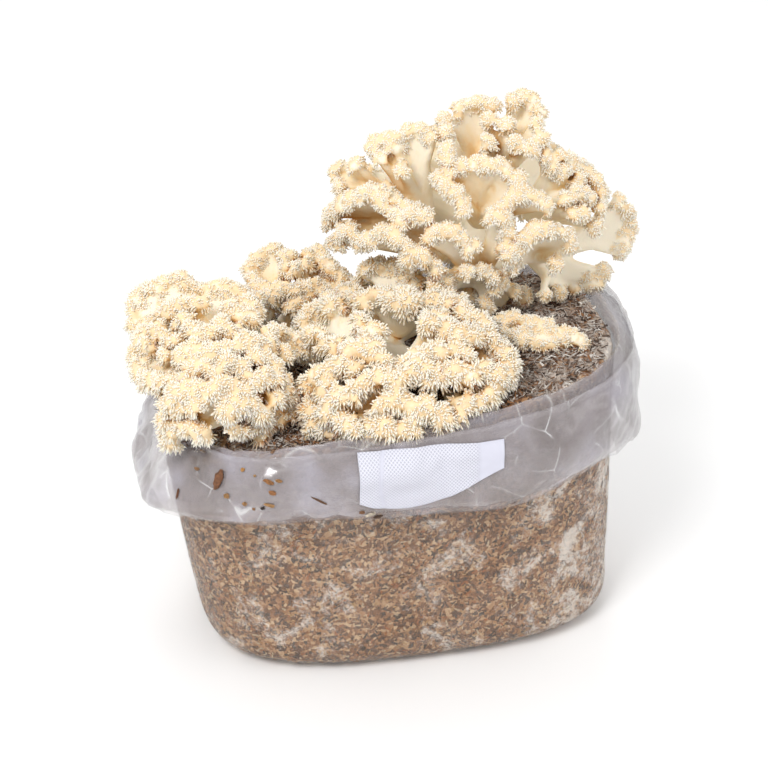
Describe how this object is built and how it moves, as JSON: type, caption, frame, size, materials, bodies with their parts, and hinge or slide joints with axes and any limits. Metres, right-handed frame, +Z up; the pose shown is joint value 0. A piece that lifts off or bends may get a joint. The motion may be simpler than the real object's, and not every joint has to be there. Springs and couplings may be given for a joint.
{
  "type": "mushroom grow kit",
  "caption": "Sawdust block in a clear bag rolled down around it, with a filter patch on the roll and clusters of coral tooth fungus growing on its top.",
  "frame": {"origin": "middle of the bag's flat bottom", "axes": "+X along the block to its higher end, -Y to the front with the filter patch, +Z up"},
  "size_m": [0.2475, 0.1715, 0.2421],
  "materials": {
    "sawdust": "damp compressed sawdust and chips with white mycelium",
    "film": "thin clear crumpled film",
    "filter_cloth": "embossed nonwoven filter patch",
    "flesh": "soft waxy cream flesh with fine teeth"
  },
  "bodies": {
    "root": {"back_left_arm": "flesh", "back_left_crown": "flesh", "back_left_stem": "flesh", "filter_patch": "filter_cloth", "front_left": "flesh", "front_middle": "flesh", "front_petals": "flesh", "front_petals_shoot_1": "flesh", "front_right": "flesh", "front_stem": "flesh", "front_top": "flesh", "grow_bag": "film", "left_foot": "flesh", "left_middle": "flesh", "left_outer": "flesh", "left_stem": "flesh", "left_top": "flesh", "rear_arm": "flesh", "rear_crown": "flesh", "rear_front": "flesh", "rear_left": "flesh", "rear_low_left": "flesh", "rear_middle": "flesh", "rear_right": "flesh", "rear_trunk": "flesh", "side_sprout": "flesh", "substrate_block": "sawdust"}
  },
  "joints": []
}
